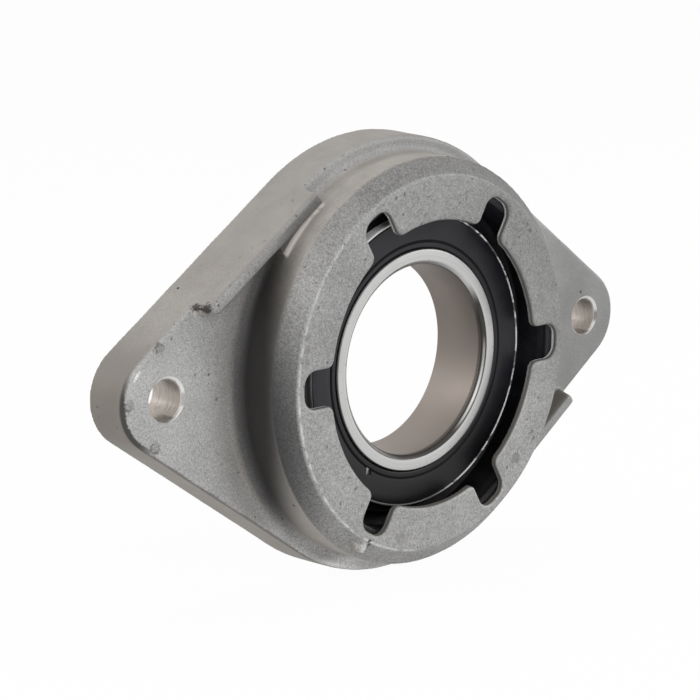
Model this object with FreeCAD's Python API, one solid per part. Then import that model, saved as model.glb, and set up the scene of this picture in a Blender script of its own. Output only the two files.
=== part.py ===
"""Driveshaft centre bearing: a ball bearing held by a rubber damper in a cast two-ear bracket.

Millimetres. The shaft runs along Y and the lip side faces -Y. The bolt ears lie along X and +Z is up.
The origin is the middle of the bearing's bore.
"""

import FreeCAD, Part
import math
import os

from FreeCAD import Vector

# Ball bearing
bore_radius = 23.5
bearing_width = 17.0
ring_chamfer = 1.0
inner_shoulder_drop = 2.35
outer_shoulder_rise = 2.25
shoulder_chamfer = 0.3
ball_count = 12
ball_radius = 3.97
ball_play = 0.04
race_wall = 2.24
groove_margin = 0.16

# Ball cage
cage_width = 2.7
cage_sheet = 0.8
pocket_play = 0.15
rivet_radius = 0.7
rivet_head_radius = 1.2
rivet_head_height = 0.45
rivet_play = 0.03

# Bearing seals
seal_lip_play = 0.1
seal_rubber_thickness = 1.0
seal_dish_depth = 0.35
seal_bead_width = 1.7
seal_line_depth = 0.3
seal_line_width = 0.35
seal_rim_margin = 0.45
insert_sheet = 0.5
insert_inner_margin = 1.2
insert_rim_length = 1.6
seal_seat_depth = 1.9

# Rubber damper and its sleeves
seat_sleeve_wall = 1.2
seat_sleeve_front_setback = 2.7
seat_sleeve_back_setback = 1.0
outer_sleeve_wall = 1.2
inner_rubber_layer = 1.0
outer_rubber_layer = 1.1
rubber_end_margin = 0.6
rubber_depth = 5.6
web_setback = 5.1
web_thickness = 4.0
web_rise = 3.0
front_bead_length = 2.2
front_bead_thickness = 2.0
front_bead_round = 0.8

# Housing casting
body_wall = 6.0
lip_stand_off = 6.6
lip_thickness = 1.9
lip_overhang = 1.1
lip_edge_round = 0.85
cone_length = 4.5
cone_depth = 4.5
face_edge_round = 0.35
cone_edge_round = 1.2
body_fillet = 1.8
back_bore_chamfer = 0.8

# Lip notches
notch_count = 6
notch_floor_margin = 0.5
notch_half_width = 4.35
notch_corner_round = 3.3
notch_mouth_round = 2.2

# Flange and bolt ears
flange_thickness = 11.4
flange_margin = 4.0
ear_radius = 12.2
bolt_hole_spacing = 144.4
bolt_hole_radius = 4.7
bolt_hole_chamfer = 0.9
draft_angle = 2.4
flange_edge_round = 1.3
flange_setback = 8.4

# Ribs
rib_stand_off = 5.4
rib_thickness = 3.5
rib_length = 39.5
rib_end_slope = 2.0
rib_root_depth = 2.0
rib_edge_round = 0.8
rib_end_round = 1.8
step_drop = 0.6
step_length = 16.0
step_width = 2.4

# Snap ring at the back of the housing
retaining_ring_thickness = 2.0
retaining_ring_depth = 1.4
retaining_ring_width = 4.2
retaining_ring_gap = 24.0
retaining_ring_play = 0.1
retaining_ring_setback = 2.5
retaining_lug_radius = 2.6
retaining_lug_hole = 1.0

# Radii, worked out from the sizes above
pitch_radius = bore_radius + race_wall + ball_radius + ball_play
bearing_outer_radius = pitch_radius + ball_radius + ball_play + race_wall
groove_radius = ball_radius + groove_margin
inner_shoulder_radius = pitch_radius - inner_shoulder_drop
outer_shoulder_radius = pitch_radius + outer_shoulder_rise
seal_seat_radius = outer_shoulder_radius + seal_seat_depth
seat_sleeve_radius = bearing_outer_radius + seat_sleeve_wall
outer_sleeve_radius = seat_sleeve_radius + rubber_depth
housing_bore_radius = outer_sleeve_radius + outer_sleeve_wall
body_radius = housing_bore_radius + body_wall
face_radius = body_radius - cone_depth
lip_radius = bearing_outer_radius - lip_overhang
notch_floor_radius = housing_bore_radius - notch_floor_margin
flange_disc_radius = body_radius + flange_margin

# Places along the shaft, worked out from the sizes above
bearing_front = -bearing_width / 2
bearing_back = bearing_width / 2
lip_front = bearing_front - lip_stand_off
lip_back = lip_front + lip_thickness
flange_front = bearing_front + flange_setback
flange_back = flange_front + flange_thickness
rib_front = flange_front - rib_stand_off
seat_start = bearing_front + seat_sleeve_front_setback
seat_end = bearing_back - seat_sleeve_back_setback
bead_end = lip_back + front_bead_length
ring_groove_end = flange_back - retaining_ring_setback
sleeve_end = ring_groove_end - retaining_ring_thickness - 2 * retaining_ring_play

overlap = 1.0
flat_tolerance = 0.001
whole_turn = 360.0
shaft_axis = Vector(0, 1, 0)
origin = Vector(0, 0, 0)


def at(radius, y):
    """A point of a turned profile, at a radius and a place along the shaft."""
    return Vector(radius, y, 0)


def revolve(wire):
    """The solid that a closed profile sweeps round the shaft axis."""
    return Part.Face(wire).revolve(origin, shaft_axis, whole_turn)


def turned(points):
    """A turned solid from the corners of its profile."""
    corners = [at(radius, y) for radius, y in points]
    return revolve(Part.makePolygon(corners + corners[:1]))


def tube(inner, outer, start, end):
    """A plain ring between two radii, from start to end along the shaft."""
    return turned([(inner, start), (outer, start), (outer, end), (inner, end)])


def cylinder(radius, start, end, x=0.0, z=0.0):
    """A solid cylinder along the shaft direction."""
    return Part.makeCylinder(radius, end - start, Vector(x, start, z), shaft_axis)


def turned_about(shape, degrees):
    """A copy turned round the shaft axis."""
    copy = shape.copy()
    copy.rotate(origin, shaft_axis, degrees)
    return copy


def mirrored(shape):
    """A copy mirrored from the front half of the bearing to its back half."""
    return shape.mirror(origin, shaft_axis)


def rounded_profile(points):
    """A closed wire through corners (radius, y, rounding), with a tangent arc at each rounded corner."""
    corners = [(at(radius, y), rounding) for radius, y, rounding in points]
    count = len(corners)
    starts = []
    ends = []
    middles = []
    for i, (corner, rounding) in enumerate(corners):
        back = (corners[i - 1][0] - corner).normalize()
        ahead = (corners[(i + 1) % count][0] - corner).normalize()
        half_angle = back.getAngle(ahead) / 2
        reach = rounding / math.tan(half_angle)
        starts.append(corner + back * reach)
        ends.append(corner + ahead * reach)
        centre_way = (back + ahead).normalize()
        middles.append(corner + centre_way * (rounding / math.sin(half_angle) - rounding))
    edges = []
    for i, (corner, rounding) in enumerate(corners):
        if rounding > 0:
            edges.append(Part.Arc(starts[i], middles[i], ends[i]).toShape())
        following = (i + 1) % count
        if (starts[following] - ends[i]).Length > 1e-6:
            edges.append(Part.LineSegment(ends[i], starts[following]).toShape())
    return Part.Wire(edges)


def grooved_ring(wall_radius, shoulder_radius, groove_centre, wall_chamfer):
    """A bearing ring: a plain wall on one side, shoulders and the ball groove on the other."""
    way = 1 if shoulder_radius > wall_radius else -1
    half_groove = math.sqrt(groove_radius**2 - (groove_centre - shoulder_radius) ** 2)
    wall = [
        at(shoulder_radius, -half_groove),
        at(shoulder_radius, bearing_front + shoulder_chamfer),
        at(shoulder_radius - way * shoulder_chamfer, bearing_front),
        at(wall_radius + way * wall_chamfer, bearing_front),
        at(wall_radius, bearing_front + wall_chamfer),
        at(wall_radius, bearing_back - wall_chamfer),
        at(wall_radius + way * wall_chamfer, bearing_back),
        at(shoulder_radius - way * shoulder_chamfer, bearing_back),
        at(shoulder_radius, bearing_back - shoulder_chamfer),
        at(shoulder_radius, half_groove),
    ]
    floor = at(groove_centre - way * groove_radius, 0)
    groove = Part.Arc(wall[-1], floor, wall[0]).toShape()
    return revolve(Part.Wire(Part.makePolygon(wall).Edges + [groove]))


def inner_ring():
    groove_centre = pitch_radius - ball_radius - ball_play + groove_radius
    return grooved_ring(bore_radius, inner_shoulder_radius, groove_centre, ring_chamfer)


def seal_seat():
    """The recess for the front seal, cut from the outer ring."""
    depth = seal_rubber_thickness + insert_rim_length
    inner = outer_shoulder_radius - overlap
    start = bearing_front - overlap
    rim = tube(inner, seal_seat_radius, start, bearing_front + depth)
    lap = tube(inner, bearing_outer_radius - seal_rim_margin, start, bearing_front + seal_rubber_thickness)
    return rim.fuse(lap)


def outer_ring():
    groove_centre = pitch_radius + ball_radius + ball_play - groove_radius
    ring = grooved_ring(bearing_outer_radius, outer_shoulder_radius, groove_centre, seal_rim_margin / 2)
    front_seat = seal_seat()
    return ring.cut(front_seat).cut(mirrored(front_seat))


def seal():
    """The front seal's rubber: a dished cover with a lip bead beside the inner ring."""
    lip = inner_shoulder_radius + seal_lip_play
    bead = lip + seal_bead_width
    rim = bearing_outer_radius - seal_rim_margin
    dished = bearing_front + seal_dish_depth
    inside = bearing_front + seal_rubber_thickness
    lip_foot = inner_shoulder_radius + insert_inner_margin
    return turned(
        [
            (lip, dished + seal_line_depth),
            (lip + seal_line_width, dished),
            (bead - seal_line_width, dished),
            (bead, dished + seal_line_depth),
            (bead + seal_line_width, dished),
            (rim - seal_line_width, bearing_front),
            (rim, bearing_front + seal_line_width),
            (rim, inside),
            (lip_foot, inside),
            (lip_foot, inside + insert_sheet),
            (lip, inside + insert_sheet),
        ]
    )


def seal_insert():
    """The pressed steel disc behind the front seal's rubber, with its rim bent inwards."""
    start = bearing_front + seal_rubber_thickness
    inner = inner_shoulder_radius + insert_inner_margin
    end = start + insert_rim_length
    return turned(
        [
            (inner, start),
            (seal_seat_radius, start),
            (seal_seat_radius, end),
            (seal_seat_radius - insert_sheet, end),
            (seal_seat_radius - insert_sheet, start + insert_sheet),
            (inner, start + insert_sheet),
        ]
    )


def ball_centre(index):
    angle = math.radians(whole_turn / ball_count * index)
    return Vector(pitch_radius * math.cos(angle), 0, pitch_radius * math.sin(angle))


def ball(index):
    return Part.makeSphere(ball_radius, ball_centre(index))


def rivet_angle(index):
    return whole_turn / ball_count * (index + 0.5)


def cage_half():
    """The front half of the cage: a flat ribbon that bulges round each ball."""
    pocket = ball_radius + pocket_play
    reach = pocket + cage_sheet
    inner = pitch_radius - cage_width / 2
    outer = pitch_radius + cage_width / 2
    band = tube(inner, outer, -reach, 0)
    half = tube(inner, outer, -cage_sheet, 0)
    for index in range(ball_count):
        half = half.fuse(Part.makeSphere(reach, ball_centre(index)).common(band))
    for index in range(ball_count):
        half = half.cut(Part.makeSphere(pocket, ball_centre(index)))
        hole = cylinder(rivet_radius + rivet_play, -reach, reach, pitch_radius)
        half = half.cut(turned_about(hole, rivet_angle(index)))
    return half


def cage_rivets():
    """The rivets between the pockets, each with a head on both sides."""
    head = cage_sheet + rivet_head_height
    rivet = cylinder(rivet_radius, -head, head, pitch_radius)
    rivet = rivet.fuse(cylinder(rivet_head_radius, cage_sheet, head, pitch_radius))
    rivet = rivet.fuse(cylinder(rivet_head_radius, -head, -cage_sheet, pitch_radius))
    return Part.makeCompound([turned_about(rivet, rivet_angle(i)) for i in range(ball_count)])


def seat_sleeve():
    return tube(bearing_outer_radius, seat_sleeve_radius, seat_start, seat_end)


def outer_sleeve():
    return tube(outer_sleeve_radius, housing_bore_radius, bead_end, sleeve_end)


def damper():
    """The moulded rubber: a layer on each sleeve, a cranked web between them and a front bead."""
    layer = seat_sleeve_radius + inner_rubber_layer
    lining = outer_sleeve_radius - outer_rubber_layer
    bead = housing_bore_radius - front_bead_thickness
    edge_round = inner_rubber_layer / 2
    layer_start = seat_start + rubber_end_margin
    layer_end = seat_end - rubber_end_margin
    lining_end = sleeve_end - rubber_end_margin
    web_front = seat_start + web_setback
    web_back = web_front + web_thickness
    profile = rounded_profile(
        [
            (seat_sleeve_radius, layer_start, 0),
            (layer, layer_start, edge_round),
            (layer, web_front, edge_round),
            (lining, web_front - web_rise, edge_round),
            (lining, bead_end + front_bead_round, edge_round),
            (bead, bead_end - front_bead_round, edge_round),
            (bead, lip_back, front_bead_round),
            (housing_bore_radius, lip_back, 0),
            (housing_bore_radius, bead_end, 0),
            (outer_sleeve_radius, bead_end, 0),
            (outer_sleeve_radius, lining_end, 0),
            (lining, lining_end, edge_round),
            (lining, web_back - web_rise, edge_round),
            (layer, web_back, edge_round),
            (layer, layer_end, edge_round),
            (seat_sleeve_radius, layer_end, 0),
        ]
    )
    return revolve(profile)


def retaining_ring():
    """An internal snap ring: an open ring with a holed lug at each end."""
    start = sleeve_end + retaining_ring_play
    end = start + retaining_ring_thickness
    outer = housing_bore_radius + retaining_ring_depth - retaining_ring_play
    inner = outer - retaining_ring_width
    lug_place = inner + retaining_lug_radius / 2
    lug_angle = math.radians(retaining_ring_gap / 2) + retaining_lug_radius / lug_place
    ring = tube(inner, outer, start, end)
    reach = outer + overlap
    half_gap = math.radians(retaining_ring_gap / 2)
    mouth = [
        Vector(0, start - overlap, 0),
        Vector(-reach * math.sin(half_gap), start - overlap, -reach * math.cos(half_gap)),
        Vector(0, start - overlap, -reach / math.cos(half_gap)),
        Vector(reach * math.sin(half_gap), start - overlap, -reach * math.cos(half_gap)),
    ]
    depth = retaining_ring_thickness + 2 * overlap
    wedge = Part.Face(Part.makePolygon(mouth + mouth[:1])).extrude(shaft_axis * depth)
    ring = ring.cut(wedge)
    for side in (-1, 1):
        x = side * lug_place * math.sin(lug_angle)
        z = -lug_place * math.cos(lug_angle)
        ring = ring.fuse(cylinder(retaining_lug_radius, start, end, x, z))
        ring = ring.cut(cylinder(retaining_lug_hole, start - overlap, end + overlap, x, z))
    return ring.removeSplitter()


def draft_at(y):
    """How far the casting's outline stands in from its size at the flange's front face."""
    return math.tan(math.radians(draft_angle)) * (y - flange_front)


def tangent_direction():
    """Cosine and sine of the slope of the straight flange edge that runs up from the left ear."""
    slope = (flange_disc_radius - ear_radius) / (bolt_hole_spacing / 2)
    return math.sqrt(1 - slope**2), slope


def outline(y):
    """The flange's outline at a place along the shaft: two ears and a disc joined by tangent lines."""
    grow = draft_at(y)
    disc = flange_disc_radius + grow
    ear = ear_radius + grow
    half_spacing = bolt_hole_spacing / 2
    cosine, sine = tangent_direction()
    edges = []
    for side in (1, -1):
        ear_top = Vector(side * (half_spacing + ear * sine), y, side * ear * cosine)
        ear_tip = Vector(side * (half_spacing + ear), y, 0)
        ear_low = Vector(side * (half_spacing + ear * sine), y, -side * ear * cosine)
        disc_low = Vector(side * disc * sine, y, -side * disc * cosine)
        disc_far = Vector(-side * disc * sine, y, -side * disc * cosine)
        next_ear_top = Vector(-side * (half_spacing + ear * sine), y, -side * ear * cosine)
        edges.append(Part.Arc(ear_top, ear_tip, ear_low).toShape())
        edges.append(Part.LineSegment(ear_low, disc_low).toShape())
        edges.append(Part.Arc(disc_low, Vector(0, y, -side * disc), disc_far).toShape())
        edges.append(Part.LineSegment(disc_far, next_ear_top).toShape())
    return Part.Wire(edges)


def edge_directions():
    """The way along the straight flange edge above the left ear, and the way across it, off the shaft."""
    cosine, sine = tangent_direction()
    return Vector(cosine, 0, sine), Vector(-sine, 0, cosine)


def slanted_bar(start, foot_start, front, inner, outer):
    """A bar along the flange edge above the left ear, from its start up to the point beside the disc."""
    along, across = edge_directions()
    root = flange_front + rib_root_depth
    side = [
        along * -start + Vector(0, front, 0),
        Vector(0, front, 0),
        Vector(0, root, 0),
        along * -foot_start + Vector(0, root, 0),
    ]
    side = [point + across * inner for point in side]
    return Part.Face(Part.makePolygon(side + side[:1])).extrude(across * (outer - inner))


def edges_at(shape, y):
    """The edges of a shape that lie in one plane across the shaft."""
    flat = []
    for edge in shape.Edges:
        box = edge.BoundBox
        if abs(box.YMin - y) < flat_tolerance and abs(box.YMax - y) < flat_tolerance:
            flat.append(edge)
    return flat


def end_corner(bar, inner):
    """The edge at the ear end of the left rib's bar, on the side of the body."""
    along, across = edge_directions()
    corner = []
    for edge in bar.Edges:
        points = [vertex.Point for vertex in edge.Vertexes]
        inside = all(abs(point.dot(across) - inner) < flat_tolerance for point in points)
        at_end = all(point.dot(along) < overlap - rib_length for point in points)
        if inside and at_end:
            corner.append(edge)
    return corner


def rib(blank):
    """The left ear's rib: a bar flush with the casting's outline, and a low step that joins the body."""
    inner = flange_disc_radius + draft_at(rib_front) - rib_thickness
    beyond = flange_disc_radius + flange_thickness
    foot = rib_length + rib_end_slope
    bar = blank.common(slanted_bar(rib_length, foot, rib_front, inner, beyond))
    bar = bar.makeFillet(rib_end_round, end_corner(bar, inner))
    bar = bar.makeFillet(rib_edge_round, edges_at(bar, rib_front))
    step = slanted_bar(step_length, step_length, rib_front + step_drop, inner - step_width, inner + overlap)
    return bar.fuse(step)


def flange():
    """The flange with its ears, its ribs and the fillet round the body, inside the drafted outline."""
    blank = Part.makeLoft([outline(rib_front), outline(flange_back)], True, True)
    reach = bolt_hole_spacing
    slab = Part.makeBox(2 * reach, flange_thickness, 2 * reach, Vector(-reach, flange_front, -reach))
    plate = blank.common(slab)
    plate = plate.makeFillet(flange_edge_round, edges_at(plate, flange_front))
    left_rib = rib(blank)
    return plate.fuse([left_rib, turned_about(left_rib, whole_turn / 2)])


def body():
    """The casting's round body, closed at the back. The bore is cut later."""
    cone_end = lip_front + cone_length
    fillet = min(body_fillet, flange_margin - flange_edge_round)
    profile = rounded_profile(
        [
            (0, lip_front, 0),
            (face_radius, lip_front, face_edge_round),
            (body_radius, cone_end, cone_edge_round),
            (body_radius, flange_front, fillet),
            (body_radius + fillet, flange_front, 0),
            (body_radius + fillet, flange_front + overlap, 0),
            (0, flange_front + overlap, 0),
        ]
    )
    return revolve(profile)


def notch_cutter():
    """One notch of the lip, at the side of +X, with round corners and a flared mouth."""
    start = lip_front - overlap
    mouth = math.sqrt((lip_radius + notch_mouth_round) ** 2 - (notch_half_width + notch_mouth_round) ** 2)
    touch = lip_radius / (lip_radius + notch_mouth_round)
    inside = lip_radius - notch_mouth_round
    floor = notch_floor_radius
    turn = notch_corner_round * (1 - math.sqrt(0.5))
    sides = []
    for side in (1, -1):
        wall = side * notch_half_width
        far = side * (notch_half_width + notch_mouth_round)
        lip_point = Vector(mouth * touch, start, far * touch)
        wall_point = Vector(mouth, start, wall)
        centre = Vector(mouth, start, far)
        bulge = ((lip_point - centre) + (wall_point - centre)).normalize()
        corner_start = Vector(floor - notch_corner_round, start, wall)
        corner_end = Vector(floor, start, wall - side * notch_corner_round)
        corner_middle = Vector(floor - turn, start, wall - side * turn)
        sides.append(
            [
                Part.LineSegment(Vector(inside, start, far * touch), lip_point).toShape(),
                Part.Arc(lip_point, centre + bulge * notch_mouth_round, wall_point).toShape(),
                Part.LineSegment(wall_point, corner_start).toShape(),
                Part.Arc(corner_start, corner_middle, corner_end).toShape(),
            ]
        )
    floor_half = notch_half_width - notch_corner_round
    mouth_half = (notch_half_width + notch_mouth_round) * touch
    floor_line = Part.LineSegment(Vector(floor, start, floor_half), Vector(floor, start, -floor_half))
    mouth_line = Part.LineSegment(Vector(inside, start, -mouth_half), Vector(inside, start, mouth_half))
    upper, lower = sides
    wire = Part.Wire(upper + [floor_line.toShape()] + lower[::-1] + [mouth_line.toShape()])
    return Part.Face(wire).extrude(shaft_axis * (lip_thickness + 2 * overlap))


def lip_edges(casting):
    """The front edges of the lip's opening and notches."""
    inside = notch_floor_radius + flat_tolerance
    edges = []
    for edge in edges_at(casting, lip_front):
        if all(math.hypot(vertex.X, vertex.Z) < inside for vertex in edge.Vertexes):
            edges.append(edge)
    return edges


def housing():
    """The whole casting, machined: bore, snap ring groove, notched lip and bolt holes."""
    casting = flange().fuse(body()).removeSplitter()
    casting = casting.cut(cylinder(housing_bore_radius, lip_back, flange_back + overlap))
    casting = casting.cut(cylinder(lip_radius, lip_front - overlap, lip_back + overlap))
    notch = notch_cutter()
    for index in range(notch_count):
        casting = casting.cut(turned_about(notch, whole_turn / notch_count * index))
    casting = casting.makeFillet(lip_edge_round, lip_edges(casting))
    ring_groove = tube(
        housing_bore_radius - overlap,
        housing_bore_radius + retaining_ring_depth,
        sleeve_end,
        ring_groove_end,
    )
    casting = casting.cut(ring_groove)
    back_chamfer = turned(
        [
            (housing_bore_radius - overlap, flange_back - back_bore_chamfer),
            (housing_bore_radius, flange_back - back_bore_chamfer),
            (housing_bore_radius + back_bore_chamfer, flange_back),
            (housing_bore_radius + back_bore_chamfer, flange_back + overlap),
            (housing_bore_radius - overlap, flange_back + overlap),
        ]
    )
    casting = casting.cut(back_chamfer)
    for side in (-1, 1):
        x = side * bolt_hole_spacing / 2
        casting = casting.cut(cylinder(bolt_hole_radius, flange_front - overlap, flange_back + overlap, x))
        sink = Part.makeCone(
            bolt_hole_radius + bolt_hole_chamfer,
            bolt_hole_radius,
            bolt_hole_chamfer,
            Vector(x, flange_front, 0),
            shaft_axis,
        )
        casting = casting.cut(sink)
    return casting


def main():
    os.makedirs("parts", exist_ok=True)
    front_cage = cage_half()
    front_seal = seal()
    front_insert = seal_insert()
    pieces = {
        "housing": housing(),
        "outer_sleeve": outer_sleeve(),
        "damper": damper(),
        "seat_sleeve": seat_sleeve(),
        "retaining_ring": retaining_ring(),
        "outer_ring": outer_ring(),
        "inner_ring": inner_ring(),
        "front_seal": front_seal,
        "front_seal_insert": front_insert,
        "rear_seal": mirrored(front_seal),
        "rear_seal_insert": mirrored(front_insert),
        "cage_front": front_cage,
        "cage_rear": mirrored(front_cage),
        "cage_rivets": cage_rivets(),
    }
    for index in range(ball_count):
        pieces[f"ball_{index + 1:02d}"] = ball(index)
    for name, shape in pieces.items():
        shape.exportStep(f"parts/{name}.step")


main()
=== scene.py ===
"""Looks of the driveshaft centre bearing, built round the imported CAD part."""

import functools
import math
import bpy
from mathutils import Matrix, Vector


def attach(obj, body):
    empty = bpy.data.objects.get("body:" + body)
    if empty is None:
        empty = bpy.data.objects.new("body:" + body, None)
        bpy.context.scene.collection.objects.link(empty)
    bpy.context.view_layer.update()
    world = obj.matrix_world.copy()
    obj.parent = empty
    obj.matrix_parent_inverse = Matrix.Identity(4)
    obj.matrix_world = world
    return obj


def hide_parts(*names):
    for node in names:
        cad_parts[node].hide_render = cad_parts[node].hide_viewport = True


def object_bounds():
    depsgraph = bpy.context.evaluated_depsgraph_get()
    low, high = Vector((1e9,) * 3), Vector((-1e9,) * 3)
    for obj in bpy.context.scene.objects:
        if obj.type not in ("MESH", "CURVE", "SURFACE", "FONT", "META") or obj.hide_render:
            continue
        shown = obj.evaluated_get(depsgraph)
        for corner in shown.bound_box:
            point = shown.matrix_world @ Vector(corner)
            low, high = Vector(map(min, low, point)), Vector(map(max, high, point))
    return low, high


bl_info = {
    "name": "Driveshaft centre bearing",
    "version": (1, 0, 0),
    "blender": (4, 5, 0),
    "location": "View3D > Sidebar > Bearing",
    "description": "Dresses the cast bracket, its ball bearing, seals and rubber damper",
    "category": "Object",
}

import bpy
from bpy.props import FloatProperty, FloatVectorProperty, IntProperty, PointerProperty
from mathutils import Matrix, Vector

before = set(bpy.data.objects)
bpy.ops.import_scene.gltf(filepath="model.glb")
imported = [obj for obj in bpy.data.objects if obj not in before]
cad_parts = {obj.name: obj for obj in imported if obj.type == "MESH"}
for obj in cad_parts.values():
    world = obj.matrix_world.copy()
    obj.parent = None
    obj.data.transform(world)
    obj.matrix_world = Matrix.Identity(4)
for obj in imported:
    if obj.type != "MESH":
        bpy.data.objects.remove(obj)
cad_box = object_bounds()

MM = 0.001
BODY = "bracket"

# Sizes of the casting and the bearing in millimetres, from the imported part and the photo
LIP_FRONT = -15.1
LIP_BACK = -13.2
LIP_RADIUS = 34.9
FACE_RADIUS = 45.5
CONE_BACK = -10.6
BODY_RADIUS = 50.0
BORE_RADIUS = 44.0
DISC_RADIUS = 54.0
EAR_RADIUS = 12.2
EAR_PLACE = 72.2
HOLE_RADIUS = 4.7
HOLE_CHAMFER = 0.65
BACK_CHAMFER = 0.95
FLANGE_FRONT = -0.1
FLANGE_BACK = 11.3
RIB_FRONT = -5.5
RIB_ROOT = -2.2
RIB_LINE = 50.5
BEARING_FRONT = -8.5
SHAFT_RADIUS = 23.5
CHAMFER_RADIUS = 24.5
RING_EDGE = 27.0
SEAL_STEP = 29.1

# How far the flange's straight sides, from its disc to its ears, lean towards the ears
EDGE_SINE = (DISC_RADIUS - EAR_RADIUS) / EAR_PLACE
EDGE_COSINE = math.sqrt(1 - EDGE_SINE**2)

# Dark pits and light nicks of the casting, and painted shade and highlights: place in millimetres, radius,
# and how light (+) or dark (-)
CASTING_MARKS_AND_PAINTED_LIGHT = [
    ((-61.4, 8.4, 23.1), 0.4, -1.0),
    ((-41.1, -8.5, -28.5), 0.5, -1.0),
    ((6.8, -10.6, 49.4), 0.5, -0.9),
    ((-84.7, 8.6, -0.9), 0.35, -0.7),
    ((-23.7, 0.0, 47.8), 0.4, -0.7),
    ((70.7, -0.1, 6.9), 0.6, -0.8),
    ((-79.6, -0.1, 7.6), 0.5, 0.7),
    ((-80.1, -0.1, 7.1), 0.6, 0.8),
    ((-80.6, -0.1, 6.5), 0.55, 0.8),
    ((-81.0, -0.1, 5.9), 0.45, 0.6),
    # Painted shade at the end of the left rib, where it meets the ear's side
    ((-64.4, -1.2, 20.4), 1.6, -0.9),
    ((-63.2, -3.4, 20.2), 1.7, -0.95),
    ((-61.2, -4.3, 20.6), 1.3, -0.85),
    # A painted highlight on the torn stub's front, and painted shadow at its right
    ((-25.0, -14.4, -40.6), 1.9, 0.55),
    ((-22.6, -15.1, -39.6), 0.7, -0.85),
    ((-22.3, -14.4, -40.6), 0.8, -0.9),
    ((-23.2, -13.7, -41.0), 0.6, -0.85),
    ((29.0, -15.1, -28.3), 2.2, -0.3),
    ((-45.0, -0.1, -16.0), 0.5, -0.5),
    ((-20.9, -11.8, 44.1), 0.35, -0.8),
    ((-19.2, -15.1, 40.6), 0.4, -0.6),
    ((-15.2, -15.1, 41.8), 0.4, -0.7),
    ((-12.9, -15.1, 37.7), 0.35, -0.9),
    ((-31.7, -15.0, 32.8), 0.3, -0.7),
    ((-59.7, -0.1, 4.2), 0.35, -0.7),
    ((-79.8, 10.1, -10.0), 0.35, -0.7),
    ((-6.3, -15.1, -44.3), 0.35, -0.9),
]

# Brownish spots of the lip's face: place in millimetres and radius
BROWN_SPOTS = [
    ((-12.0, -15.1, -41.2), 3.0),
    ((-42.8, -15.1, 12.4), 1.3),
    ((-43.0, -15.1, 9.9), 1.4),
    ((-43.2, -15.1, 7.4), 1.3),
]

# Marks of the ejector pins on the left ear, as small uneven rings
PIN_MARKS = [(-73.8, -0.1, 12.1), (-82.6, -0.1, 0.4), (-75.4, -0.1, -10.4)]
PIN_RADIUS = 1.15

# The torn stub and the seal's nick: place and size in millimetres, and turn in radians
STUB_PLACE = (-24.9, -13.9, -40.4)
STUB_SIZE = 3.2
STUB_TURN = (0.3, 0.5, 0.4)
NICK_PLACE = (-16.3, -8.3, -24.9)
NICK_SIZE = 1.7
NICK_TURN = (0.0, math.radians(13.0), 0.0)

# The camera in metres: where it is, and the directions to its right and above it
CAMERA_PLACE = (-0.373272, -0.366541, 0.113897)
CAMERA_RIGHT = (0.7165, -0.69753, 0.0092)
CAMERA_UP = (0.14054, 0.15726, 0.97751)


# Materials


class Signal:
    """A socket of a finish. Python's operators on it add Math nodes."""

    def __init__(self, finish, socket):
        self.finish = finish
        self.socket = socket

    def _maths(self, operation, first, second=0.0):
        return self.finish.node("Math", {"operation": operation}, {0: first, 1: second})

    def __add__(self, other):
        return self._maths("ADD", self, other)

    def __sub__(self, other):
        return self._maths("SUBTRACT", self, other)

    def __rsub__(self, other):
        return self._maths("SUBTRACT", other, self)

    def __mul__(self, other):
        return self._maths("MULTIPLY", self, other)

    def __truediv__(self, other):
        return self._maths("DIVIDE", self, other)

    def __pow__(self, other):
        return self._maths("POWER", self, other)

    def __neg__(self):
        return self._maths("MULTIPLY", self, -1.0)

    def __abs__(self):
        return self._maths("ABSOLUTE", self)

    __radd__ = __add__
    __rmul__ = __mul__

    def highest(self, other):
        """The larger of two signals."""
        return self._maths("MAXIMUM", self, other)


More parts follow.
